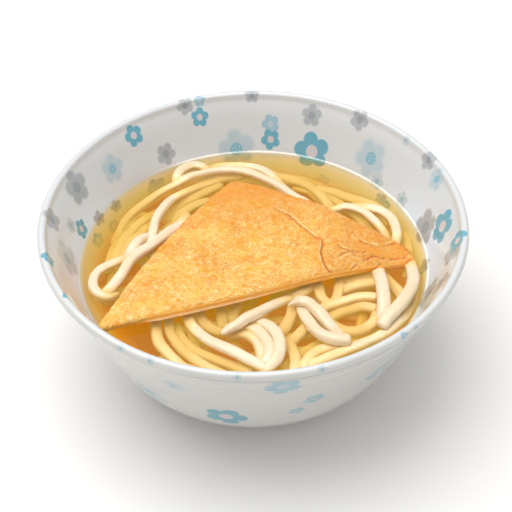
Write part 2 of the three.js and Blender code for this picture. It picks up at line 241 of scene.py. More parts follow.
BROAD_NOODLES = [
    [(56.5, 1, -7), (56.5, -7, -2.6), (57, -14.5, 0), (57, -22, 1.2), (57, -28.5, 1.1), (56.5, -33, -0.6),
     (55.5, -36.5, -3)],
    [(71, 2, -6), (71.5, -5.5, -2), (71, -14, 0.6), (69, -22, 2), (65.5, -29, 2.8), (61.5, -35, 3),
     (57.5, -39.5, 2.2), (55.5, -42.5, 0.6)],
]
LEFT_NOODLES = [
    [(-68.5, -20, -6.5), (-65, -16.5, -3.2), (-61.5, -12, -0.8), (-58.5, -7, 0.6), (-56, -0.5, 1),
     (-52, 5, 1), (-47.5, 9.5, 0.8), (-43.5, 14.5, 0.5), (-39, 20, -0.2), (-34.5, 26.5, -2),
     (-31.5, 35, -5)],
    [(-66, -0.5, -8.8), (-65.5, 10.5, -9.6), (-63, 22, -10.6), (-59.5, 31, -11.6), (-55.5, 37, -13.2)],
    [(-63.5, 6.5, -7.6), (-61.5, 17, -8), (-57.5, 26, -8.4), (-53.5, 32.5, -8.6), (-49, 38, -10),
     (-45, 43.5, -12.2)],
    [(-62.5, 4, -9.2), (-59.5, 11.5, -7.3), (-56.5, 18.5, -6.9), (-52.5, 25, -8.6), (-49, 31, -10.7),
     (-45.5, 37, -13.2)],
    [(-37, 28, -9.2), (-35.5, 35.5, -8), (-31.5, 41, -7.6), (-27, 44.5, -7.6), (-21.5, 47.5, -8.2)],
    [(-40.5, 35, -10.2), (-35.5, 44, -8.7), (-29.5, 49, -8), (-22.5, 54.5, -8), (-16, 59.5, -8)],
    [(-61, -17.5, -10), (-64, -9, -10.5), (-63, -1, -10.5), (-60.5, 6, -10.5)],
    [(-62, -5.9, -12), (-59, 10.8, -11), (-55, 20.9, -11), (-49, 31.7, -11), (-44, 42.3, -12)],
    [(-70, -4.5, -13), (-66, 6.2, -12), (-61, 18.4, -12), (-57, 29.1, -12)],
]
SLIM_NOODLES = [
    [(-47.5, 7.5, -5), (-47.5, 13.5, -1.8), (-46.5, 21, -0.4), (-45.5, 29.5, -0.4), (-42.5, 37.5, -0.6),
     (-39, 44, -1.2), (-34, 50, -3.4), (-27.5, 55.5, -5.3), (-21, 59.5, -6.5), (-14, 63, -6.8),
     (-6, 64.5, -6.8)],
    [(-43.5, 24, -6.4), (-48, 19, -2), (-51.5, 15, 0.6), (-54, 10.5, 1.3), (-56, 6.5, 0.2), (-58, 3.5, -3)],
    [(-57.5, 6.5, -4), (-60.5, 3, -2.2), (-64, 0.5, -1.5), (-68, -2.5, -1.4), (-71, -6.5, -1.3),
     (-72, -11.5, -1.3), (-71, -16.5, -1.4), (-68, -19.5, -1.8), (-64.5, -20.5, -3), (-61.5, -17, -5.5)],
    [(-37, 56, -5.4), (-37, 60.5, -2.6), (-35.5, 65.5, -1.3), (-32, 68.5, -1.1), (-28.5, 70, -1.1),
     (-25.5, 69.5, -1.6), (-22.5, 67.5, -3.8)],
    [(-66, 14, -13), (-64, 23, -10.4), (-61.5, 31, -8.2), (-57.5, 38, -6.7), (-53, 43.5, -6.2),
     (-48, 48.5, -5), (-42.5, 53, -3.5), (-36, 57.5, -2.3), (-30.5, 61.5, -1.3), (-23, 64, -0.8),
     (-15, 65.5, -0.6), (-7, 65, -0.5), (-0.5, 62.5, -0.4), (6.5, 58, -0.4), (13, 52.5, -0.5),
     (19, 46.5, -0.9), (25, 42, -1.7), (30, 37.5, -3.3), (34.5, 34.5, -6.1)],
    [(-24, 69, -6.9), (-18, 70.5, -4.8), (-11, 70.5, -3.3), (-5, 70, -2.5), (-0.5, 68.5, -1.5),
     (4.5, 66, -1.3), (9, 62, -1.7), (12.5, 57.5, -3.3), (16, 53.5, -6.4)],
    [(34.5, 35.5, -5.3), (39, 37, -2.9), (43.5, 38, -1.7), (48.5, 36.5, -1.4), (53, 33, -1.4),
     (57, 27.5, -1.6), (60, 22, -2.5), (62, 17.5, -4.7), (63, 13, -8.7)],
    [(48, 41, -5.6), (52.5, 38.5, -3), (58, 36, -1.4), (62.5, 32.5, -1), (65.5, 26.5, -1), (66.5, 20, -1.4),
     (66, 14.5, -3.4), (65, 11, -7.6)],
]
BACK_NOODLES = [
    [(15, 63, -7.1), (20.5, 61, -7.2), (26, 58, -7.4), (30.5, 53, -6.9), (34, 46.5, -6), (36.5, 40.5, -6.2),
     (39, 35.5, -7.3)],
    [(31.5, 55, -6.7), (38.5, 52, -7), (46, 49, -7.2), (53, 44, -5.8), (59.5, 40, -6.2),
     (63.5, 34.5, -8.8)],
    [(-11, 62.5, -9.8), (-1.5, 63.5, -9.4), (7.5, 58, -9.4), (16, 51.5, -9.8)],
    [(28, 53.4, -9.8), (37, 53.1, -7.2), (44, 48.8, -6.8), (51, 44.6, -6.8), (58, 39.2, -7),
     (64, 29.8, -8.8)],
    [(-28, 58.5, -10), (-16, 66.2, -7), (-4, 67.5, -6.6), (8, 65.8, -7), (18, 61.4, -8)],
    [(20, 58, -10.8), (33, 51.8, -8.8), (44, 42, -8.4), (52, 30.8, -8.8), (57, 18.4, -9.8)],
    [(68, 30, -10.8), (71, 19, -8.4), (71.6, 7.1, -8.2), (69.6, -5.4, -9.2)],
]
DEEP_LAYERS = [(-10.6, 32), (-13.8, 28), (-17, 22)]   # height above the broth, and how many noodles
DEEP_STEP = 9.0
DEEP_TURN = (0.012, 0.05)            # bend of a deep noodle, in radians a millimetre
DEEP_STEPS = (7, 12)
DEEP_JITTER = 1.2                    # how far a deep noodle strays up or down
WALL_ROOM = 6.0                      # what the deep noodles leave free along the wall
CORE_PROFILE = [(35, -43), (50, -36), (58, -27), (57, -19.5), (40, -16.5), (20, -16), (0, -16)]
CORE_SIDES = 64
CORE_DENT = (12, 0.5)                # how far round the open broth the core draws in, and by how much
CORE_LUMPS = (9, 1.6)                # size and height
OPEN_BROTH = {"x": -56, "y": -36, "radius": 21}      # broth with nothing in it, by the tofu's corner
GAPS = [(33.6, -15, 3.5), (65, -5, 3.5)]             # x, y and radius of deep gaps between the noodles

# ---- Fried tofu ----

TOFU_FACE = 0.43                     # size of a face on its skin
TOFU_BASE = BROTH_LEVEL + 0.9
TOFU_THICKNESS = 4.8
CUT_FROM = Vector((-68.5, -46.3))    # the cut side runs between these two corners
CUT_TO = Vector((77.5, 4))
CUT_BULGE = 3.0
CUT_GROOVE = {"depth": 0.75, "height": 0.46, "width": 0.15}
CUT_UNDER_LIP = {"depth": 0.55, "height": 0.2, "width": 0.13}
TOFU_DROOPS = [(1, 26, 68, 5.0), (-1, 40, 68, 1.6)]     # way along X, from, to, drop
TIP_SINKS = (54, 66, 1.3)            # from, to, drop: the right corner dips under the broth
TIP_WIDENS = (54, 68, 3.4)           # from, to, push: and is blunt
LEFT_CURL = (38, 54, 0.8)            # from, to, rise: the left corner's under edge is drawn up
CUT_SHOWS_FROM = (0.11, 0.19)        # share of the cut side where the skin stops wrapping it
CREASES = [                          # x and y of its points, depth, and the side of its high lip, which carries a painted highlight
    ([(10.2, 28.7), (16.2, 24.3), (22.4, 16.6), (28.7, 9.5), (30.2, 8.6)], 0.45, 1),
    ([(31.3, 10.2), (31.6, 3.8), (30.4, 1), (30.8, -3.2),
      (31.5, -7.3), (32.1, -10.4), (33.7, -12.7), (36, -13.2)], 0.6, -1),
    ([(38, 6.1), (40.3, 2.7), (44.5, 1.2)], 0.4, 1),
    ([(37.5, -3.6), (40.9, -0.4), (44.5, 1.5), (48, 1.4), (52, 2.2)], 0.45, -1),
    ([(48.2, 9.9), (51.3, 7.8), (54, 7.4), (56.5, 5.6)], 0.4, 1),
    ([(49, -3.4), (51.4, -2.3), (54.3, -0.2), (57.5, -0.6), (60, 0.6)], 0.55, -1),
    ([(43.6, -10.3), (45, -8.2), (47.3, -5.1)], 0.4, 1),
    ([(59.9, 8.1), (62.8, 10.4), (66.9, 11.3)], 0.35, 1),
    ([(60.5, 0.3), (65.4, 2.7), (69.2, 4.4)], 0.4, -1),
    ([(43.7, -10.9), (48.1, -8.9), (51.6, -9.4), (55.4, -6.3), (57.4, -3.2)], 0.6, 1),
]
CREASE_WIDTH = 0.7
CREASE_REACH = 4.0                   # how far a crease is felt in the skin
CREASE_TAPER = 0.12                  # share of its length over which it dies away at each end
RED_SPOT = (29.4, 8.4)               # scorched a little where the creases meet
CUT_PAINTED_GLOW = (0.12, 0.055, 0.008)      # painted glow on the cut side, for light that reaches it from the broth under it
# painted highlights: pale glints on the wrinkles, on the ridges of the relief and on the creases' lips
SKIN_PAINTED_GLINT = (1.0, 0.80, 0.38)
SKIN_YELLOW = (0.86, 0.50, 0.085)
SKIN_GOLD = (0.82, 0.39, 0.040)
SKIN_ORANGE = (0.80, 0.305, 0.022)
SKIN_BROWN = (0.78, 0.270, 0.017)
SKIN_DARK = (0.64, 0.245, 0.022)
# painted shade: dark red-brown in a crease's furrow
CREASE_PAINTED_SHADE = (0.60, 0.13, 0.010)
SCORCH_TONE = (0.80, 0.20, 0.025)
# the cut side's own tan, made brighter than it is as painted light against the shade under the skin's
# overhang
CUT_TONES = [(0.3, (0.98, 0.43, 0.07)), (0.7, (1.0, 0.58, 0.16))]
UNDER_SKIN_TONE = (0.97, 0.72, 0.52)


# ---- Shader maths ----

class Value:
    """A number in a material, that can be used in sums."""

    def __init__(self, recipe, socket):
        self.recipe = recipe
        self.socket = socket

    def work(self, operation, *terms):
        node = self.recipe.add("ShaderNodeMath", {"operation": operation}, dict(enumerate(terms)))
        return Value(self.recipe, node.outputs[0])

    def __add__(self, other):
        return self.work("ADD", self, other)

    def __sub__(self, other):
        return self.work("SUBTRACT", self, other)

    def __rsub__(self, other):
        return self.work("SUBTRACT", other, self)

    def __mul__(self, other):
        return self.work("MULTIPLY", self, other)

    def __truediv__(self, other):
        return self.work("DIVIDE", self, other)

    def __pow__(self, other):
        return self.work("POWER", self, other)

    def __mod__(self, other):
        return self.work("FLOORED_MODULO", self, other)

    def __abs__(self):
        return self.work("ABSOLUTE", self)

    __radd__ = __add__
    __rmul__ = __mul__

    def step(self, start, end):
        """0 before start, 1 after end, and smooth between them."""
        sockets = {"Value": self, "From Min": start, "From Max": end}
        node = self.recipe.add("ShaderNodeMapRange", {"interpolation_type": "SMOOTHSTEP"}, sockets)
        return Value(self.recipe, node.outputs["Result"])


class Recipe:
    """One finish, or the sky: a material or a world whose nodes are put in by add()."""

    def __init__(self, name, kind="Material"):
        owners = bpy.data.worlds if kind == "World" else bpy.data.materials
        self.owner = owners.new(name)
        self.owner.use_nodes = True
        self.tree = self.owner.node_tree
        self.tree.nodes.clear()
        self.output = self.add("ShaderNodeOutput" + kind)

    def feed(self, socket, value):
        if isinstance(value, Value):
            value = value.socket
        if isinstance(value, bpy.types.NodeSocket):
            self.tree.links.new(value, socket)
        elif isinstance(value, tuple) and socket.type == "RGBA":
            socket.default_value = (*value, 1.0)
        else:
            socket.default_value = value

    def add(self, kind, settings=None, sockets=None):
        node = self.tree.nodes.new(kind)
        for name, value in (settings or {}).items():
            if name == "stops":
                self.set_stops(node.color_ramp, value)
            else:
                setattr(node, name, value)
        for name, value in (sockets or {}).items():
            self.feed(node.inputs[name], value)
        return node

    @staticmethod
    def set_stops(ramp, stops):
        while len(ramp.elements) < len(stops):
            ramp.elements.new(1.0)
        for element, (position, colour) in zip(ramp.elements, stops):
            element.position = position
            element.color = (*colour, 1.0)

    def place(self):
        return self.add("ShaderNodeTexCoord").outputs["Object"]

    def parts(self, vector):
        split = self.add("ShaderNodeSeparateXYZ", sockets={"Vector": vector})
        return [Value(self, socket) for socket in split.outputs]

    def attribute(self, name):
        return self.add("ShaderNodeAttribute", {"attribute_name": name})

    def mask(self, name):
        """A number that the mesh carries at each of its points."""
        return Value(self, self.attribute(name).outputs["Fac"])

    def grain(self, size, detail=2.0, roughness=0.5, warp=0.0):
        """Noise whose lumps are about size millimetres across."""
        sockets = {"Vector": self.place(), "Scale": 1 / (size * MM), "Detail": detail, "Roughness": roughness}
        sockets["Distortion"] = warp
        return Value(self, self.add("ShaderNodeTexNoise", sockets=sockets).outputs["Fac"])

    def mix(self, share, first, second, blend="MIX"):
        settings = {"data_type": "RGBA", "blend_type": blend}
        return self.add("ShaderNodeMix", settings, {0: share, 6: first, 7: second}).outputs[2]

    def multiply(self, share, first, second):
        return self.mix(share, first, second, "MULTIPLY")

    def ramp(self, value, stops, interpolation="LINEAR"):
        node = self.add("ShaderNodeValToRGB", {"stops": stops}, {"Fac": value})
        node.color_ramp.interpolation = interpolation
        return node.outputs["Color"]

    def depth(self):
        """Depth under the broth in millimetres."""
        return (BROTH_LEVEL * MM - self.parts(self.place())[2]) / MM

    def depth_ramp(self, stops):
        """A colour that changes with the depth under the broth."""
        deepest = stops[-1][0]
        return self.ramp(self.depth() / deepest, [(depth / deepest, colour) for depth, colour in stops])

    def tint_and_shade_under_broth(self, colour, share=1.0):
        # painted shade as well as tint: what lies deeper is dimmed, for the light that does not get down
        return self.multiply(share, colour, self.depth_ramp(BROTH_TINT_AND_SHADE))

    def bump(self, height, strength, distance):
        sockets = {"Height": height, "Strength": strength, "Distance": distance * MM}
        return self.add("ShaderNodeBump", sockets=sockets).outputs["Normal"]

    def surface(self, sockets):
        shader = self.add("ShaderNodeBsdfPrincipled", sockets=sockets).outputs["BSDF"]
        self.feed(self.output.inputs["Surface"], shader)
        return shader


# ---- Finishes ----

PETAL_COUNT = 5
PETAL_PLACE = 0.60                   # middle of a petal, in flower radii
PETAL_SIZE = 0.41
MIDDLE_SIZE = 0.33
PRINT_EDGE = 0.05                    # softness of the heart, the middle and the dots
DOT_COUNT = 6
DOT_PLACE = 0.19
DOT_SIZE = 0.055


def folded(angle, count):
    """The angle from the nearest of count rays."""
    share = 2 * math.pi / count
    return abs((angle + share / 2) % share - share / 2)


def ring_distance(radius, angle, count, place):
    """Distance from the nearest of count spots that stand in a ring at `place` from the middle."""
    sector = folded(angle, count)
    along = radius * sector.work("COSINE", sector) - place
    beside = radius * sector.work("SINE", sector)
    return (along * along + beside * beside) ** 0.5


def print_flowers(recipe, ground, layer):
    """Paints one layer of flowers on the colour `ground`.

    The layer's attribute holds the place in a flower, and the flower's kind.
    """
    across, up, kind = recipe.parts(recipe.attribute(layer).outputs["Vector"])
    radius = (across * across + up * up) ** 0.5
    angle = across.work("ARCTAN2", up, across)

    def by_kind(colours):
        stops = [(i / len(KIND_NAMES), colour) for i, colour in enumerate(colours)]
        return recipe.ramp((kind + 0.5) / len(KIND_NAMES), stops, "CONSTANT")

    edge = Value(recipe, by_kind((PRINT_EDGES[name],) * 3 for name in KIND_NAMES))
    petal = ring_distance(radius, angle, PETAL_COUNT, PETAL_PLACE)
    petal = 1 - petal.step(PETAL_SIZE - edge, PETAL_SIZE + edge)
    heart = 1 - radius.step(PETAL_PLACE - PRINT_EDGE, PETAL_PLACE)
    bloom = petal.work("MAXIMUM", petal, heart)
    middle = 1 - radius.step(MIDDLE_SIZE - PRINT_EDGE, MIDDLE_SIZE + PRINT_EDGE)
    dot = ring_distance(radius, angle, DOT_COUNT, DOT_PLACE)
    dot = dot.work("MINIMUM", dot, radius)
    dots = 1 - dot.step(DOT_SIZE - PRINT_EDGE / 2, DOT_SIZE + PRINT_EDGE / 2)
    for part, share in enumerate((bloom, middle, dots)):
        ground = recipe.mix(share, ground, by_kind(PRINT_KINDS[name][part] for name in KIND_NAMES))
    return ground


def make_glaze():
    recipe = Recipe("white_glaze")
    ground = recipe.ramp(recipe.grain(34, 3.0), GLAZE_TONES)
    inside = recipe.mask("inside")
    along = recipe.parts(recipe.place())[1]
    front, back, loss = GLOW_LOSS
    felt = 1 - along.step(front * MM, back * MM) * loss
    # painted cool tint near the broth, against the warm light that the painted glow throws on the wall
    painted_cool_share = (1 - (0 - recipe.depth()).step(0, GLOW_REACH)) * felt
    ground = recipe.mix(inside, ground, recipe.mix(painted_cool_share, INSIDE_GLAZE, GLAZE_PAINTED_COOL))
    # painted fill light: the wall under the broth is brightened
    ground = recipe.mix(inside * recipe.depth().step(0, 4), ground, UNDER_BROTH_PAINTED_FILL)
    inked = print_flowers(recipe, ground, "flowers_under")
    inked = print_flowers(recipe, inked, "flowers_over")
    fade_depth, fade = PRINT_FADE
    inked = recipe.mix(inside * recipe.depth().step(0, fade_depth) * fade, inked, ground)
    inked = recipe.multiply(1 - inside, inked, OUTSIDE_WARMTH)
    recipe.surface({
        "Base Color": recipe.tint_and_shade_under_broth(inked, inside),
        # painted glow: the wall under the broth gives off the broth's amber light
        "Emission Color": recipe.mix(inside, NO_LIGHT, recipe.depth_ramp(BROTH_PAINTED_GLOW)),
        "Emission Strength": 1.0,
        "Roughness": recipe.grain(3.0) * 0.06 + 0.09,
        "IOR": 1.5,
        "Coat Weight": 0.35,
        "Coat Roughness": 0.04,
        "Normal": recipe.bump(recipe.grain(9.0, 1.0), 0.25, 0.12),
    })
    return recipe.owner


def make_broth_finish():
    """Clear water's surface, with a painted highlight on its meniscus. What lies under it carries the broth's
    colour, deeper with depth, with painted shade and a painted glow.
    """
    recipe = Recipe("clear_broth")
    across, along, up = recipe.parts(recipe.place())
    climb = (up / MM - BROTH_LEVEL).step(0.1, 0.45)
    facing_light = (across * 0.75 + along).step(20 * MM, 55 * MM)
    water = recipe.surface({
        "Base Color": WATER_TONE,
        # painted highlight: the meniscus glows on the far side and the right
        "Emission Color": recipe.mix(climb * facing_light, NO_LIGHT, MENISCUS_PAINTED_HIGHLIGHT),
        "Emission Strength": 1.0,
        "Roughness": 0.03,
        "IOR": 1.333,
        "Transmission Weight": 1.0,
    })
    open_to_light = recipe.add("ShaderNodeBsdfTransparent").outputs["BSDF"]
    for_shadow = recipe.add("ShaderNodeLightPath").outputs["Is Shadow Ray"]
    both = recipe.add("ShaderNodeMixShader", sockets={0: for_shadow, 1: water, 2: open_to_light})
    recipe.feed(recipe.output.inputs["Surface"], both.outputs[0])
    return recipe.owner


def make_noodle_finish():
    recipe = Recipe("boiled_noodle")
    colour = recipe.ramp(recipe.grain(16, 2.0), NOODLE_TONES)
    raised = 1 - recipe.depth().step(-0.8, 1.0)
    colour = recipe.multiply(raised, colour, RAISED_TINT)
    # painted shade: deep in the bundle the noodles turn dark amber
    colour = recipe.mix(recipe.depth().step(*DEEP_DIM), colour, DEEP_PAINTED_SHADE)
    between = recipe.depth().step(3, 9)
    sunken = recipe.depth().step(0.5, 4)
    recipe.surface({
        "Base Color": recipe.tint_and_shade_under_broth(colour),
        # painted glow: noodles deep among the others give off the broth's amber light
        "Emission Color": recipe.multiply(between, recipe.depth_ramp(BROTH_PAINTED_GLOW), GAP_PAINTED_GLOW_TINT),
        "Emission Strength": 1.0,
        "Roughness": recipe.grain(2.4) * 0.14 + sunken * 0.4 + 0.22,
        "IOR": 1.4,
        "Subsurface Weight": 0.25,
        "Subsurface Radius": (1.0, 0.75, 0.45),
        "Subsurface Scale": 1.0 * MM,
        "Coat Weight": (1 - sunken) * 0.5,
        "Coat Roughness": 0.08,
        "Normal": recipe.bump(recipe.grain(1.3, 3.0), 0.3, 0.12),
    })
    return recipe.owner


def threads(recipe, size, level, width):
    """Fine winding lines, width millimetres or so across, in a skin whose wrinkles are `size` apart."""
    wave = recipe.grain(size, 0.6, 0.5, 1.8)
    return 1 - abs(wave - level).step(0.0, width / size)


def make_tofu_finish():
    recipe = Recipe("fried_tofu_skin")
    across, along, _ = recipe.parts(recipe.place())
    relief = recipe.mask("relief")
    crease_gap = recipe.mask("crease_gap")
    crease_depth = recipe.mask("crease_depth")
    cut = recipe.mask("cut_side")
    under_skin = recipe.mask("under_skin")
    patch = recipe.grain(15, 3.0, 0.55, 0.5)
    skin = recipe.ramp(patch, [(0.34, SKIN_YELLOW), (0.5, SKIN_GOLD), (0.64, SKIN_ORANGE)])
    browner = across.step(5 * MM, 55 * MM) * 0.7
    browner = browner.work("MAXIMUM", browner, along.step(8 * MM, 42 * MM) * 0.85)
    skin = recipe.mix(browner, skin, SKIN_BROWN)
    blotch = recipe.grain(5.0, 2.0, 0.55, 1.2)
    quiet = 1 - browner * 0.75
    skin = recipe.mix(blotch.step(0.50, 0.62) * quiet * 0.6, skin, SKIN_YELLOW)
    skin = recipe.mix((1 - blotch.step(0.38, 0.50)) * 0.5, skin, SKIN_ORANGE)
    clusters = recipe.grain(7.0, 1.0).step(0.38, 0.62)
    # painted highlights: pale glinting threads in clusters, as on oily wrinkles
    pale = threads(recipe, 3.0, 0.54, 0.24) * clusters
    dark = threads(recipe, 2.4, 0.46, 0.13)
    skin = recipe.mix(pale * quiet * 0.75, skin, SKIN_PAINTED_GLINT)
    wrinkled = across.step(24 * MM, 44 * MM)
    skin = recipe.mix(dark * (wrinkled * 0.4 + 0.35), skin, SKIN_DARK)
    skin = recipe.mix(pale * wrinkled * 0.15, skin, SKIN_PAINTED_GLINT)
    # painted highlight on the ridges of the relief
    skin = recipe.mix(relief.step(0.62, 0.95) * quiet * 0.25, skin, SKIN_PAINTED_GLINT)
    # painted shade in the hollows of the relief
    skin = recipe.mix((1 - relief.step(0.05, 0.38)) * 0.3, skin, SKIN_DARK)
    wander = crease_gap + (recipe.grain(2.2, 2.0) - 0.5) * 1.4
    crease = (1 - abs(wander).step(0.15, 0.6)) * crease_depth
    # painted highlight on a crease's lip, and painted shade in its furrow
    lip = wander.step(0.35, 0.75) * (1 - wander.step(0.9, 1.5)) * crease_depth
    skin = recipe.mix(lip * 0.7, skin, SKIN_PAINTED_GLINT)
    skin = recipe.mix(crease * 0.9, skin, CREASE_PAINTED_SHADE)
    aside = across / MM - RED_SPOT[0]
    ahead = along / MM - RED_SPOT[1]
    spot = 1 - ((aside * aside + ahead * ahead) ** 0.5).step(0.8, 2.8)
    skin = recipe.mix(spot * 0.7, skin, SCORCH_TONE)
    skin = recipe.mix(cut, skin, recipe.ramp(recipe.grain(3.4, 3.0), CUT_TONES))
    skin = recipe.mix(under_skin, skin, UNDER_SKIN_TONE)
    height = pale * 0.3 - dark * 0.25 + recipe.grain(2.1, 2.5, 0.6, 1.6) * 0.5
    height = height + recipe.grain(0.8, 2.0, 0.6, 0.6) * 0.25 - crease * 0.8 + lip * 0.5
    recipe.surface({
        "Base Color": recipe.tint_and_shade_under_broth(skin),
        # painted glow: the broth's amber light on what lies under it, and on the cut side
        "Emission Color": recipe.mix(cut, recipe.depth_ramp(BROTH_PAINTED_GLOW), CUT_PAINTED_GLOW),
        "Emission Strength": 1.0,
        "Roughness": recipe.grain(2.0) * 0.25 + 0.27,
        "IOR": 1.4,
        "Subsurface Weight": 0.08,
        "Subsurface Radius": (1.0, 0.45, 0.15),
        "Subsurface Scale": 0.6 * MM,
        "Coat Weight": 0.08,
        "Coat Roughness": 0.15,
        "Normal": recipe.bump(height, 0.7, 0.5),
    })
    return recipe.owner


def make_table_finish():
    recipe = Recipe("white_table")
    white = recipe.ramp(recipe.grain(60, 2.0), TABLE_TONES)
    recipe.surface({"Base Color": white, "Roughness": 0.8, "Specular IOR Level": 0.1})
    return recipe.owner


# ---- Modelling helpers ----

def deselect_all():
    bpy.ops.object.select_all(action="DESELECT")


def take_up(thing):
    """Makes one object the only one selected, and the active one."""
    deselect_all()
    thing.select_set(True)
    bpy.context.view_layer.objects.active = thing


def smooth_line(stations, step):
    """Points about `step` apart on a smooth curve through the stations."""
    knots = [np.array(station, float) for station in stations]
    knots = [knots[0] * 2 - knots[1], *knots, knots[-1] * 2 - knots[-2]]
    line = []
    for before, start, end, after in zip(knots, knots[1:], knots[2:], knots[3:]):
        count = max(2, round(np.linalg.norm(end - start) / step))
        for t in np.linspace(0, 1, count, endpoint=False):
            bend = (2 * before - 5 * start + 4 * end - after) * t ** 2
            swing = (3 * start - 3 * end + after - before) * t ** 3
            line.append(0.5 * (2 * start + (end - before) * t + bend + swing))
    line.append(knots[-2])
    return line


def turn_on_wheel(name, section, sides):
    """A turned piece: a point drawn along the section (radius, height) and spun round the Z axis."""
    deselect_all()
    first = section[0]
    bpy.ops.mesh.primitive_plane_add(size=MM, location=(first[0] * MM, 0, first[1] * MM))
    piece = bpy.context.object
    piece.name = name
    bpy.ops.object.transform_apply(location=True, rotation=True, scale=True)
    bpy.ops.object.mode_set(mode="EDIT")
    bpy.ops.mesh.select_all(action="SELECT")
    bpy.ops.mesh.merge(type="CENTER")
    for (r0, z0), (r1, z1) in zip(section, section[1:]):
        step = ((r1 - r0) * MM, 0, (z1 - z0) * MM)
        bpy.ops.mesh.extrude_region_move(TRANSFORM_OT_translate={"value": step})
    bpy.ops.mesh.select_all(action="SELECT")
    bpy.ops.mesh.spin(steps=sides, angle=2 * math.pi, center=(0, 0, 0), axis=(0, 0, 1))
    bpy.ops.mesh.select_all(action="SELECT")
    bpy.ops.mesh.remove_doubles(threshold=0.01 * MM)
    bpy.ops.mesh.normals_make_consistent(inside=False)
    bpy.ops.object.mode_set(mode="OBJECT")
    return piece


def dress(piece, finish, angle, node):
    """Finishes a piece: smooth shading, its material, the body it rides on and the node it stands for."""
    take_up(piece)
    bpy.ops.object.shade_smooth_by_angle(angle=math.radians(angle))
    piece.data.materials.clear()
    piece.data.materials.append(finish)
    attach(piece, BODY)
    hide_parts(node)


def corners_of(mesh):
    """The mesh's vertices, and for each face corner its vertex, as arrays."""
    places = np.empty(len(mesh.vertices) * 3)
    mesh.vertices.foreach_get("co", places)
    corner_vertex = np.empty(len(mesh.loops), int)
    mesh.loops.foreach_get("vertex_index", corner_vertex)
    return places.reshape(-1, 3), corner_vertex


# ---- Bowl ----

def ridge(height):
    """Depth of the finger ridges at a height on the outside."""
    below = RIDGE_TOP - height
    if below < 0:
        return 0
    fade = max(0, 1 - below / RIDGE_REACH)
    return RIDGE_DEPTH * fade * (0.5 - 0.5 * math.cos(2 * math.pi * below / RIDGE_PITCH))


def bowl_section():
    """Radius and height along the bowl's section, and the number of its points that lie outside."""
    outside = [(r - ridge(z), z) for r, z in smooth_line(OUTER_WALL, WALL_STEP)]
    turns = [math.radians(t) for t in np.linspace(*LIP_TURN, LIP_PARTS)]
    centre = (RIM_RADIUS - LIP_RADIUS, RIM_HEIGHT - LIP_RADIUS)
    lip = [(centre[0] + LIP_RADIUS * math.cos(t), centre[1] + LIP_RADIUS * math.sin(t)) for t in turns]
    inside = [(r, z) for r, z in smooth_line(INNER_WALL, WALL_STEP)]
    top = len(FOOT_SECTION) + len(outside) + LIP_PARTS // 2
    return FOOT_SECTION + outside + lip + inside, top


def lies_clear(flower, other):
    """Whether two flowers leave enough glaze between them."""
    turn = (flower[0] - other[0] + 180) % 360 - 180
    apart = math.hypot(math.radians(turn) * RIM_RADIUS * SCATTER_WAIST, flower[1] - other[1])
    return apart > flower[2] + other[2] + SCATTER_GAP


def scatter(rng, band, taken):
    """Flowers strewn over a band of the wall, clear of each other and of those that are there."""
    found = []
    for _ in range(SCATTER_TRIES):
        kind = rng.choice(SCATTER_KINDS)
        turn, height = rng.uniform(*band["turn"]), rng.uniform(*band["height"])
        flower = (turn, height, rng.uniform(*SCATTER_SIZES[kind]), kind, rng.uniform(0, 360 / PETAL_COUNT))
        if all(lies_clear(flower, other) for other in taken + found):
            found.append(flower)
    return found


def place_in_section(places, section):
    """For each vertex, the number of the section's point that it was turned from."""
    points = np.array(section)
    radius = np.hypot(places[:, 0], places[:, 1]) / MM
    height = places[:, 2] / MM
    nearest = np.empty(len(places), int)
    for start in range(0, len(places), ROWS_AT_ONCE):
        part = slice(start, start + ROWS_AT_ONCE)
        gap = np.hypot(radius[part, None] - points[None, :, 0], height[part, None] - points[None, :, 1])
        nearest[part] = gap.argmin(axis=1)
    return nearest


def spots_of(flowers, points, lengths, top):
    """Each flower's angle, way along the section, size, kind, turn, and the side that it faces."""
    spots = []
    for turn, level, size, kind, petal, inside in flowers:
        facing = 1 if inside else -1
        side = slice(top, None) if inside else slice(0, top)
        station = np.interp(level, points[side][::-facing, 1], lengths[side][::-facing])
        spots.append((math.radians(turn), station, size, KIND_NAMES.index(kind), math.radians(petal), facing))
    return spots


def print_layer(mesh, name, flowers, section, top):
    """Writes where each face corner lies in its nearest flower: across, up, and the flower's kind."""
    places, corner_vertex = corners_of(mesh)
    points = np.array(section)
    lengths = np.concatenate([[0], np.cumsum(np.linalg.norm(np.diff(points, axis=0), axis=1))])
    radius = np.hypot(places[:, 0], places[:, 1]) / MM
    angle = np.arctan2(places[:, 1], places[:, 0])
    run = lengths[place_in_section(places, section)]
    count = len(mesh.polygons)
    loop_start = np.empty(count, int)
    loop_total = np.empty(count, int)
    mesh.polygons.foreach_get("loop_start", loop_start)
    mesh.polygons.foreach_get("loop_total", loop_total)
    face_of_corner = np.repeat(np.arange(count), loop_total)
    best = np.full(count, PRINT_REACH)
    written = np.zeros((len(corner_vertex), 3), np.float32)
    written[:, 0] = NO_FLOWER
    for turn, station, size, kind, petal, facing in spots_of(flowers, points, lengths, top):
        swing = (angle[corner_vertex] - turn + math.pi) % (2 * math.pi) - math.pi
        across = swing * radius[corner_vertex] / size * (INSIDE_SLIM if facing > 0 else 1)
        up = (station - run[corner_vertex]) * facing / size
        distance = np.maximum.reduceat(np.hypot(across, up), loop_start)
        closer = distance < best
        best = np.where(closer, distance, best)
        chosen = closer[face_of_corner]
        turned_across = across * math.cos(petal) + up * math.sin(petal)
        turned_up = up * math.cos(petal) - across * math.sin(petal)
        written[chosen, 0] = turned_across[chosen]
        written[chosen, 1] = turned_up[chosen]
        written[chosen, 2] = kind
    layer = mesh.attributes.new(name, "FLOAT_VECTOR", "CORNER")
    layer.data.foreach_set("vector", written.ravel())


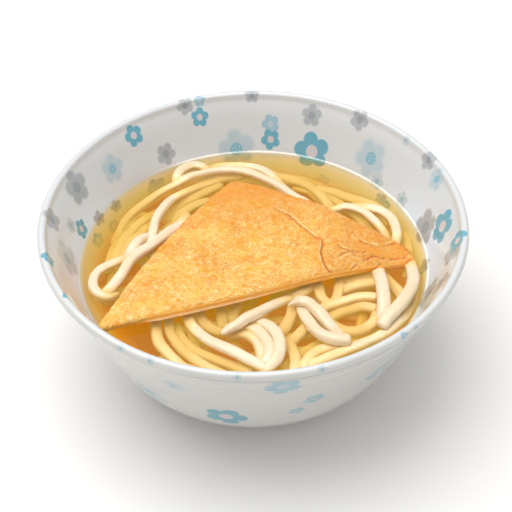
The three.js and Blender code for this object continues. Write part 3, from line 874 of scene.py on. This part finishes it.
def make_bowl():
    section, top = bowl_section()
    bowl = turn_on_wheel("glazed_bowl", section, BOWL_SIDES)
    rng = random.Random(SCATTER_SEED)
    inside_scatter = scatter(rng, SCATTER_INSIDE, INSIDE_OVER + INSIDE_UNDER)
    outside_scatter = scatter(rng, SCATTER_OUTSIDE, OUTSIDE_OVER + OUTSIDE_UNDER)
    over = [(*flower, True) for flower in INSIDE_OVER + inside_scatter]
    over += [(*flower, False) for flower in OUTSIDE_OVER + outside_scatter]
    under = [(*flower, True) for flower in INSIDE_UNDER] + [(*flower, False) for flower in OUTSIDE_UNDER]
    print_layer(bowl.data, "flowers_over", over, section, top)
    print_layer(bowl.data, "flowers_under", under, section, top)
    inside = place_in_section(corners_of(bowl.data)[0], section) > top
    bowl.data.attributes.new("inside", "FLOAT", "POINT").data.foreach_set("value", inside.astype(np.float32))
    dress(bowl, make_glaze(), 60, "bowl")


# ---- Broth ----

def inner_radius(height):
    """Radius of the bowl's inner wall at a height."""
    wall = smooth_line(INNER_WALL, WALL_STEP)
    return float(np.interp(height, [z for _, z in wall][::-1], [r for r, _ in wall][::-1]))


def make_broth():
    edge = inner_radius(BROTH_LEVEL + MENISCUS_RISE) + BROTH_OVERLAP
    flat = [(r, BROTH_LEVEL) for r in np.linspace(0, edge - MENISCUS_WIDTH, BROTH_RINGS)]
    climb = [
        (edge - MENISCUS_WIDTH * (1 - t), BROTH_LEVEL + MENISCUS_RISE * t ** MENISCUS_CURVE)
        for t in np.linspace(0, 1, MENISCUS_RINGS + 1)[1:]
    ]
    wall = [(r, z) for r, z in smooth_line(INNER_WALL, WALL_STEP * 1.5) if z < BROTH_LEVEL - 1]
    under = [(r + BROTH_OVERLAP if r > 0 else 0, z - BROTH_OVERLAP) for r, z in wall]
    broth = turn_on_wheel("clear_broth", flat + climb + under, BOWL_SIDES // 2)
    dress(broth, make_broth_finish(), 40, "broth")


# ---- Noodles ----

def section_curve(name, points):
    """The noodle's section: a soft-cornered rectangle."""
    data = bpy.data.curves.new(name, "CURVE")
    data.dimensions = "2D"
    spline = data.splines.new("POLY")
    spline.points.add(points - 1)
    for i, point in enumerate(spline.points):
        turn = 2 * math.pi * (i + 0.5) / points
        across = math.copysign(abs(math.cos(turn)) ** (2 / NOODLE_SQUARENESS), math.cos(turn))
        up = math.copysign(abs(math.sin(turn)) ** (2 / NOODLE_SQUARENESS), math.sin(turn))
        point.co = (across * NOODLE_WIDTH / 2 * MM, up * NOODLE_THICKNESS / 2 * MM, 0, 1)
    spline.use_cyclic_u = True
    section = bpy.data.objects.new(name, data)
    bpy.context.scene.collection.objects.link(section)
    return section


def past_the_end(before, end, reach):
    return end + (end - before).normalized() * reach


def lay_noodles(name, routes, section, rng, pieces, share=1.0):
    """Sweeps the section along the routes, each noodle a little thicker or thinner and turned a little."""
    data = bpy.data.curves.new(name, "CURVE")
    data.dimensions = "3D"
    data.twist_mode = "Z_UP"
    data.resolution_u = pieces
    data.bevel_mode = "OBJECT"
    data.bevel_object = section
    data.use_fill_caps = True
    for route in routes:
        thickness = share * rng.uniform(*NOODLE_SPREAD)
        lean = rng.uniform(-NOODLE_LEAN, NOODLE_LEAN)
        phase = rng.uniform(*NOODLE_PHASE)
        places = [Vector(station[:3]) for station in route]
        shares = [station[3] if len(station) > 3 else 1 for station in route]
        stations = list(zip(places, shares, range(len(route))))
        for reach, left in TIP:
            stations.insert(0, (past_the_end(places[1], places[0], reach), left * shares[0], 0))
            stations.append((past_the_end(places[-2], places[-1], reach), left * shares[-1], len(route) - 1))
        spline = data.splines.new("BEZIER")
        spline.bezier_points.add(len(stations) - 1)
        for point, (place, left, i) in zip(spline.bezier_points, stations):
            point.co = (place + Vector((0, 0, BROTH_LEVEL))) * MM
            point.handle_left_type = "AUTO"
            point.handle_right_type = "AUTO"
            point.radius = thickness * left * (1 + WIDTH_WAVER[0] * math.sin(phase + WIDTH_WAVER[1] * i))
            point.tilt = lean + LEAN_WAVER[0] * math.sin(phase + LEAN_WAVER[1] * i)
    noodles = bpy.data.objects.new(name, data)
    bpy.context.scene.collection.objects.link(noodles)
    take_up(noodles)
    bpy.ops.object.convert(target="MESH")
    return bpy.context.object


def lies_well(route):
    """Whether a deep noodle is long enough, and stays out of the gaps."""
    line = [Vector(place[:2]) for place in route]
    return len(route) > 3 and all(
        abs(place_on_line(Vector((x, y)), line)[0]) > radius + NOODLE_WIDTH / 2 for x, y, radius in GAPS
    )


def deep_routes(rng):
    """Bent noodles strewn through the layers under the ones that show, clear of the wall."""
    routes = []
    for level, count in DEEP_LAYERS:
        room = inner_radius(BROTH_LEVEL + level) - WALL_ROOM
        for _ in range(count):
            spread = room * math.sqrt(rng.random())
            start = rng.uniform(0, 2 * math.pi)
            x, y = spread * math.cos(start), spread * math.sin(start)
            heading = rng.uniform(0, 2 * math.pi)
            bend = rng.uniform(*DEEP_TURN) * rng.choice([-1, 1])
            route = []
            for _ in range(rng.randint(*DEEP_STEPS)):
                away = math.hypot(x - OPEN_BROTH["x"], y - OPEN_BROTH["y"])
                if away < OPEN_BROTH["radius"]:
                    break
                shrink = min(1, room / max(math.hypot(x, y), 1e-6))
                x, y = x * shrink, y * shrink
                route.append((x, y, level + rng.uniform(-DEEP_JITTER, DEEP_JITTER)))
                heading += bend * DEEP_STEP
                x += DEEP_STEP * math.cos(heading)
                y += DEEP_STEP * math.sin(heading)
            if lies_well(route):
                routes.append(route)
    return routes


def make_core():
    """The bundle's middle, which only shows as a shape deep in the gaps."""
    section = [(0, CORE_PROFILE[0][1]), *CORE_PROFILE]
    core = turn_on_wheel("noodle_core", [(r, BROTH_LEVEL + z) for r, z in section], CORE_SIDES)
    for vertex in core.data.vertices:
        here = vertex.co / MM
        reach = math.hypot(here.x - OPEN_BROTH["x"], here.y - OPEN_BROTH["y"])
        inward = max(0, 1 - reach / (OPEN_BROTH["radius"] + CORE_DENT[0])) * CORE_DENT[1]
        lift = noise.noise(here / CORE_LUMPS[0]) * CORE_LUMPS[1]
        x, y, z = vertex.co
        vertex.co = Vector((x * (1 - inward), y * (1 - inward), z + lift * MM))
    return core


def make_noodles():
    rng = random.Random(NOODLE_SEED)
    fine = section_curve("noodle_section", SECTION_POINTS)
    coarse = section_curve("deep_noodle_section", DEEP_SECTION_POINTS)
    shown = lay_noodles("udon_noodles", FRONT_NOODLES + LEFT_NOODLES + BACK_NOODLES, fine, rng, 7)
    broad = lay_noodles("broad_noodles", BROAD_NOODLES, fine, rng, 7, BROAD_SHARE)
    slim = lay_noodles("slim_noodles", SLIM_NOODLES, fine, rng, 7, SLIM_SHARE)
    deep = lay_noodles("deep_noodles", deep_routes(rng), coarse, rng, 3)
    core = make_core()
    deselect_all()
    for part in (broad, slim, deep, core, shown):
        part.select_set(True)
    bpy.context.view_layer.objects.active = shown
    bpy.ops.object.join()
    for section in (fine, coarse):
        bpy.data.objects.remove(section)
    uneven = bpy.data.textures.new("noodle_unevenness", "CLOUDS")
    uneven.noise_scale = NOODLE_SWELL[0] * MM
    swell = shown.modifiers.new("unevenness", "DISPLACE")
    swell.texture = uneven
    swell.texture_coords = "LOCAL"
    swell.strength = NOODLE_SWELL[1] * MM
    take_up(shown)
    bpy.ops.object.modifier_apply(modifier="unevenness")
    dress(shown, make_noodle_finish(), 50, "noodles")


# ---- Fried tofu ----

def place_on_line(place, line):
    """A point's distance from a line of points, less than 0 on its right, and its share of the way along."""
    nearest, side, way = 1e9, 1, 0
    for i, (start, end) in enumerate(zip(line, line[1:])):
        along = end - start
        share = min(1, max(0, (place - start).dot(along) / along.length_squared))
        offset = place - start - along * share
        if offset.length < nearest:
            nearest = offset.length
            side = 1 if along.x * offset.y - along.y * offset.x > 0 else -1
            way = (i + share) / (len(line) - 1)
    return nearest * side, way


def hill(value, width):
    return math.exp(-(value / width) ** 2)


def ease(value, start, end):
    share = min(1, max(0, (value - start) / (end - start)))
    return share * share * (3 - 2 * share)


def cut_place(place):
    """Share of the way along the cut side, how far inside its edge a point lies, and the way out."""
    along = CUT_TO - CUT_FROM
    share = (place - CUT_FROM).dot(along) / along.length_squared
    outward = Vector((along.y, -along.x)).normalized()
    return share, 4 * CUT_BULGE * share * (1 - share) - (place - CUT_FROM).dot(outward), outward


def skin_relief(here):
    """The puffed and wrinkled skin: broad swells, and a net of fine winding wrinkles."""
    broad = noise.noise(here / 13) * 0.75 + noise.noise(here / 5.5) * 0.4
    bent = here + noise.noise_vector(here / 3.2) * 1.5
    net = 1 - 2.2 * abs(noise.noise(bent / 2.1))
    fine = 1 - 2.2 * abs(noise.noise(bent / 1.1 + Vector((9, 4, 2))))
    return broad, 0.24 * net + 0.11 * fine


def crease_form(gap):
    """Height across a crease: a narrow furrow with a high lip on one side and a low one on the other."""
    return 0.7 * hill(gap - 1.6, 1.0) + 0.3 * hill(gap + 1.8, 1.0) - hill(gap, CREASE_WIDTH)


def furrow(form, level):
    """Depth of a furrow that runs along the cut side, at a share of the tofu's thickness."""
    return form["depth"] * hill(level - form["height"], form["width"])


def shape_tofu(mesh):
    """Moves each point of the tofu's skin, and notes the relief and the cut side for its finish."""
    creases = [([Vector(p) for p in line], depth, lip_side) for line, depth, lip_side in CREASES]
    normals = [vertex.normal.copy() for vertex in mesh.vertices]
    notes = {name: [] for name in ("relief", "crease_gap", "crease_depth", "cut_side", "under_skin")}
    for vertex, normal in zip(mesh.vertices, normals):
        here = vertex.co / MM
        flat = here.xy
        droop = sum(drop * ease(way * here.x, start, end) for way, start, end, drop in TOFU_DROOPS)
        level = (here.z - TOFU_BASE + droop) / TOFU_THICKNESS
        share, inside, outward = cut_place(flat)
        on_cut = (1 - ease(inside, 0.5, 1.4)) * (1 - ease(level, 0.78, 0.98)) * ease(normal.z, 0.9, 0.5)
        on_cut *= ease(share, *CUT_SHOWS_FROM)
        broad, fine = skin_relief(here)
        top = ease(level, 0.35, 0.8)
        lift = (broad * 0.55 + fine) * (0.35 + 0.65 * top) * (1 - 0.5 * on_cut)
        nearest, felt = CREASE_REACH, 0
        for line, depth, lip_side in creases if top > 0 else ():
            gap, way = place_on_line(flat, line)
            if abs(gap) < abs(nearest):
                nearest = gap * lip_side
                felt = top * ease(way, 0, CREASE_TAPER) * ease(1 - way, 0, CREASE_TAPER) * depth
        lift += felt * crease_form(nearest)
        left_half = 1 - ease(share, 0.42, 0.62)
        under = furrow(CUT_UNDER_LIP, level) * left_half
        near_cut = 1 - ease(inside, 0, 9)
        blunt = TIP_WIDENS[2] * ease(here.x, *TIP_WIDENS[:2]) * near_cut
        push = outward * ((under - furrow(CUT_GROOVE, level)) * on_cut + blunt)
        sink = TIP_SINKS[2] * ease(here.x, *TIP_SINKS[:2])
        curl = LEFT_CURL[2] * ease(-here.x, *LEFT_CURL[:2]) * near_cut * (1 - ease(level, 0.2, 1))
        push -= outward * curl * 0.6
        moved = here + normal * lift + Vector((push.x, push.y, curl - sink))
        vertex.co = moved * MM
        notes["relief"].append(min(1, max(0, 0.5 + fine * 1.4)))
        notes["crease_gap"].append(nearest)
        notes["crease_depth"].append(min(1, felt * 1.5))
        notes["cut_side"].append(on_cut)
        notes["under_skin"].append(on_cut * hill(level - 0.22, 0.09) * left_half * 0.9)
    for name, values in notes.items():
        mesh.attributes.new(name, "FLOAT", "POINT").data.foreach_set("value", values)


def make_tofu():
    """A copy of the frame's tofu, with even small faces, then puffed, wrinkled and creased."""
    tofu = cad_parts["fried_tofu"].copy()
    tofu.data = tofu.data.copy()
    tofu.name = "fried_tofu_pouch"
    for key in list(tofu.keys()):
        del tofu[key]
    tofu.parent = None
    bpy.context.scene.collection.objects.link(tofu)
    take_up(tofu)
    bpy.ops.object.mode_set(mode="EDIT")
    bpy.ops.mesh.select_all(action="SELECT")
    bpy.ops.mesh.remove_doubles(threshold=0.01 * MM)
    bpy.ops.object.mode_set(mode="OBJECT")
    remesh = tofu.modifiers.new("even_faces", "REMESH")
    remesh.mode = "VOXEL"
    remesh.voxel_size = TOFU_FACE * MM
    soften = tofu.modifiers.new("soft_edges", "SMOOTH")
    soften.factor = 0.5
    soften.iterations = 8
    bpy.ops.object.modifier_apply(modifier="even_faces")
    bpy.ops.object.modifier_apply(modifier="soft_edges")
    shape_tofu(tofu.data)
    dress(tofu, make_tofu_finish(), 180, "fried_tofu")


# ---- Stage ----

CAMERA_PLACE = (1.17, -471.4, 495.71)
CAMERA_TILT = 42.845                 # degrees below the horizon
CAMERA_ROLL = -0.606
CAMERA_LENS = 100
SKY_LOW = 0.275
SKY_HIGH = 0.865
WINDOW = {"place": (-0.25, 0.08, 1.15), "size": 1.15, "power": 9.9}   # metres and watts
TABLE_SIZE = 8                       # metres
TABLE_TONES = [(0.3, (0.94, 0.925, 0.905)), (0.7, (0.95, 0.935, 0.915))]


def make_camera():
    data = bpy.data.cameras.new("camera")
    data.lens = CAMERA_LENS
    data.sensor_width = 36
    camera = bpy.data.objects.new("camera", data)
    bpy.context.scene.collection.objects.link(camera)
    camera.location = Vector(CAMERA_PLACE) * MM
    camera.rotation_mode = "XYZ"
    camera.rotation_euler = (math.radians(90 - CAMERA_TILT), 0, 0)
    camera.rotation_euler.rotate_axis("Z", math.radians(CAMERA_ROLL))
    bpy.context.scene.camera = camera


def make_window():
    """A round window overhead, a little to the left and behind, that faces the bowl."""
    data = bpy.data.lights.new("window_light", "AREA")
    data.shape = "DISK"
    data.size = WINDOW["size"]
    data.energy = WINDOW["power"]
    lamp = bpy.data.objects.new("window_light", data)
    bpy.context.scene.collection.objects.link(lamp)
    lamp.location = WINDOW["place"]
    lamp.rotation_euler = (-Vector(WINDOW["place"])).to_track_quat("-Z", "Y").to_euler()


def make_sky():
    """Soft white light from all round, strongest from overhead."""
    recipe = Recipe("studio", "World")
    up = recipe.parts(recipe.add("ShaderNodeTexCoord").outputs["Generated"])[2]
    fade = recipe.add("ShaderNodeMapRange", sockets={"Value": up, "To Min": SKY_LOW, "To Max": SKY_HIGH})
    sockets = {"Color": (1.0, 1.0, 1.0), "Strength": fade.outputs["Result"]}
    light = recipe.add("ShaderNodeBackground", sockets=sockets)
    recipe.feed(recipe.output.inputs["Surface"], light.outputs["Background"])
    return recipe.owner


def make_stage():
    deselect_all()
    bpy.ops.mesh.primitive_plane_add(size=TABLE_SIZE, location=(0, 0, 0))
    table = bpy.context.object
    table.name = "table"
    table.data.materials.append(make_table_finish())
    make_window()
    bpy.context.scene.world = make_sky()
    bpy.context.scene.view_settings.view_transform = "Standard"


make_camera()
make_stage()
make_bowl()
make_broth()
make_noodles()
make_tofu()
